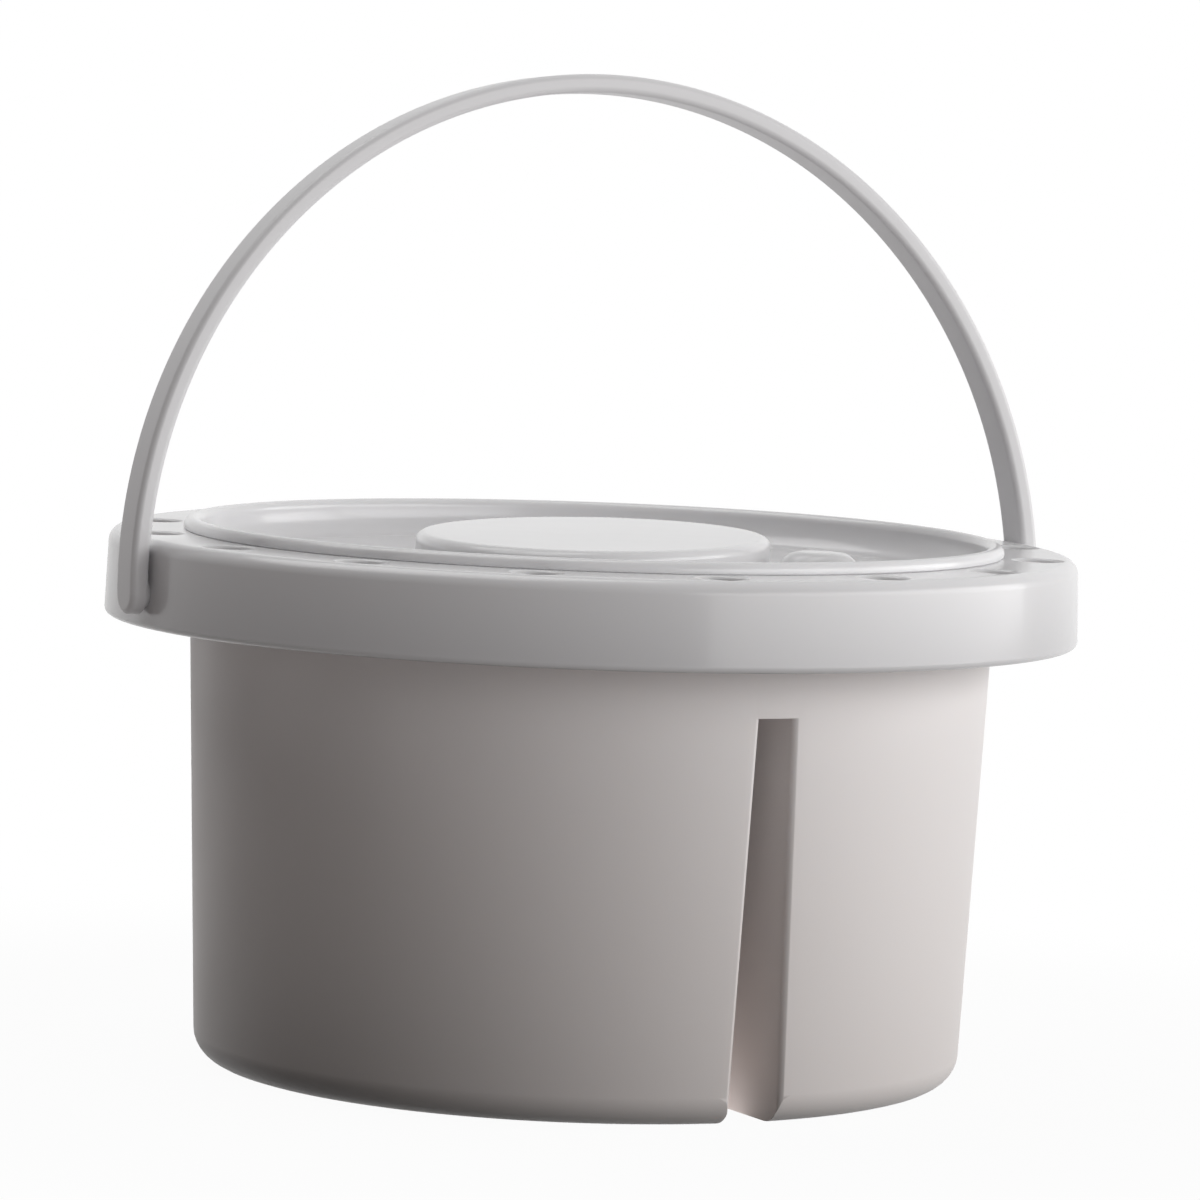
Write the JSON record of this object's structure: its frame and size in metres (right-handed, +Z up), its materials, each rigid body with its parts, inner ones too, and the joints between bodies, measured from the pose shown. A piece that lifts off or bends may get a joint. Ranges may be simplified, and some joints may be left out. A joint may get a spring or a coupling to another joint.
{
  "type": "brush washer with lid",
  "caption": "Round paint brush washing tub with a split tub, a wide rim with brush holes, a lift-off palette lid and a swinging bail handle.",
  "frame": {"origin": "on the table, under the middle of the tub", "axes": "+X along the handle's pivot axis, +Y along the divider's slot, +Z up"},
  "size_m": [0.219, 0.21, 0.2149],
  "materials": {
    "tub_plastic": "satin",
    "ring_plastic": "gloss",
    "lid_plastic": "gloss",
    "handle_plastic": "gloss"
  },
  "bodies": {
    "washer": {"tub": "tub_plastic", "rim_ring": "ring_plastic"},
    "lid": {"lid": "lid_plastic"},
    "handle": {"handle": "handle_plastic"}
  },
  "joints": [
    {"name": "handle_swing", "type": "hinge", "parent": "washer", "child": "handle", "pos_m": [0, 0, 0.1035], "axis": [1, 0, 0], "range_deg": [-120, 127]},
    {"name": "lid_lift", "type": "slide", "parent": "washer", "child": "lid", "axis": [0, 0, 1], "range_m": [0, 0.04]}
  ]
}
